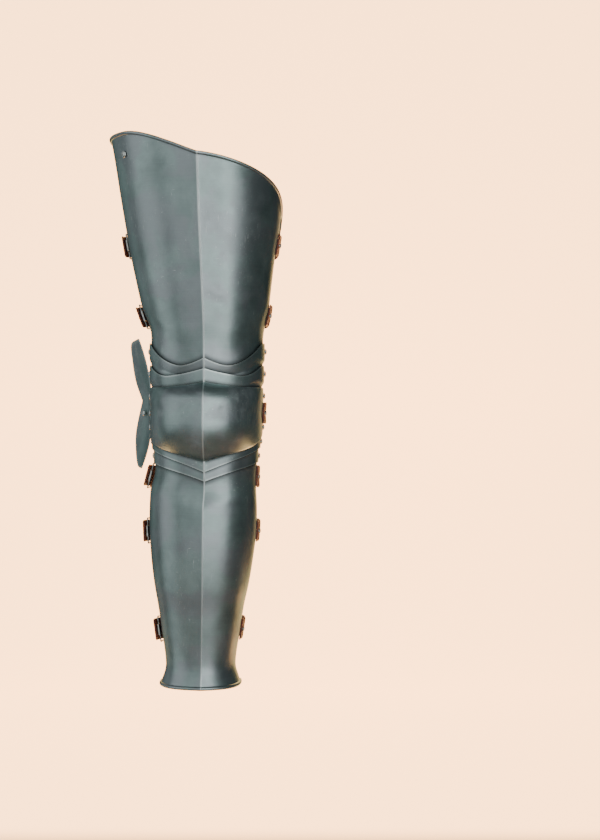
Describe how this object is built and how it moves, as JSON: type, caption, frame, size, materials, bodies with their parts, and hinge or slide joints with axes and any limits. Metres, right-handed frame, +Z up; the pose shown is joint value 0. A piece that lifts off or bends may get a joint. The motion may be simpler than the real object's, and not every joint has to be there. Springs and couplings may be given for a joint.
{
  "type": "plate leg harness with cuisse, poleyn and greave",
  "caption": "Plate armour for one leg: ridged thigh plate, articulated knee with a side wing and lames, ridged shin plate, leather straps and buckles",
  "frame": {"origin": "middle of the thigh opening on the line through the pivots, level with the inner side of the thigh plate's top edge", "axes": "+Z up the leg, -Y the front with the ridge, -X the outer side of the leg with the wing, +X the inner side"},
  "size_m": [0.2412, 0.2279, 0.758],
  "materials": {
    "plate_steel": "satin polished plate, scuffed",
    "rivet_steel": "polished rivet heads",
    "buckle_steel": "satin buckle frames",
    "leather": "reddish brown strap leather"
  },
  "bodies": {
    "cuisse": {"cuisse_plate": "plate_steel", "pivot_rivet_1_outer": "rivet_steel", "pivot_rivet_1_inner": "rivet_steel", "hanging_rivet": "rivet_steel", "strap_thigh_upper": "leather", "strap_rivet_thigh_upper": "rivet_steel", "buckle_thigh_upper": "buckle_steel", "chape_thigh_upper": "buckle_steel", "strap_thigh_lower": "leather", "strap_rivet_thigh_lower": "rivet_steel", "buckle_thigh_lower": "buckle_steel", "chape_thigh_lower": "buckle_steel"},
    "upper_lame_1": {"upper_lame_1": "plate_steel", "pivot_rivet_2_outer": "rivet_steel", "pivot_rivet_2_inner": "rivet_steel"},
    "upper_lame_2": {"upper_lame_2": "plate_steel", "pivot_rivet_3_outer": "rivet_steel", "pivot_rivet_3_inner": "rivet_steel"},
    "poleyn": {"poleyn": "plate_steel", "wing_rivet": "rivet_steel", "wing_strap_rivet": "rivet_steel", "strap_knee": "leather", "strap_rivet_knee": "rivet_steel"},
    "lower_lame_1": {"lower_lame_1": "plate_steel", "pivot_rivet_4_outer": "rivet_steel", "pivot_rivet_4_inner": "rivet_steel"},
    "lower_lame_2": {"lower_lame_2": "plate_steel", "pivot_rivet_5_outer": "rivet_steel", "pivot_rivet_5_inner": "rivet_steel"},
    "greave": {"greave_plate": "plate_steel", "pivot_rivet_6_outer": "rivet_steel", "pivot_rivet_6_inner": "rivet_steel", "strap_calf_top": "leather", "strap_rivet_calf_top": "rivet_steel", "buckle_calf_top": "buckle_steel", "chape_calf_top": "buckle_steel", "strap_calf": "leather", "strap_rivet_calf": "rivet_steel", "buckle_calf": "buckle_steel", "chape_calf": "buckle_steel", "strap_ankle": "leather", "strap_rivet_ankle": "rivet_steel", "buckle_ankle": "buckle_steel", "chape_ankle": "buckle_steel"}
  },
  "joints": [
    {"name": "thigh_lame_hinge", "type": "hinge", "parent": "cuisse", "child": "upper_lame_1", "pos_m": [0, 0, -0.1966], "axis": [1, 0, 0], "range_deg": [0, 11]},
    {"name": "upper_lames_hinge", "type": "hinge", "parent": "upper_lame_1", "child": "upper_lame_2", "pos_m": [0, 0, -0.2274], "axis": [1, 0, 0], "range_deg": [0, 11]},
    {"name": "knee_upper_hinge", "type": "hinge", "parent": "upper_lame_2", "child": "poleyn", "pos_m": [0, 0, -0.2582], "axis": [1, 0, 0], "range_deg": [0, 11]},
    {"name": "knee_lower_hinge", "type": "hinge", "parent": "poleyn", "child": "lower_lame_1", "pos_m": [0, 0, -0.3016], "axis": [1, 0, 0], "range_deg": [0, 11]},
    {"name": "lower_lames_hinge", "type": "hinge", "parent": "lower_lame_1", "child": "lower_lame_2", "pos_m": [0, 0, -0.3216], "axis": [1, 0, 0], "range_deg": [0, 11]},
    {"name": "shin_lame_hinge", "type": "hinge", "parent": "lower_lame_2", "child": "greave", "pos_m": [0, 0, -0.3416], "axis": [1, 0, 0], "range_deg": [0, 11]}
  ]
}
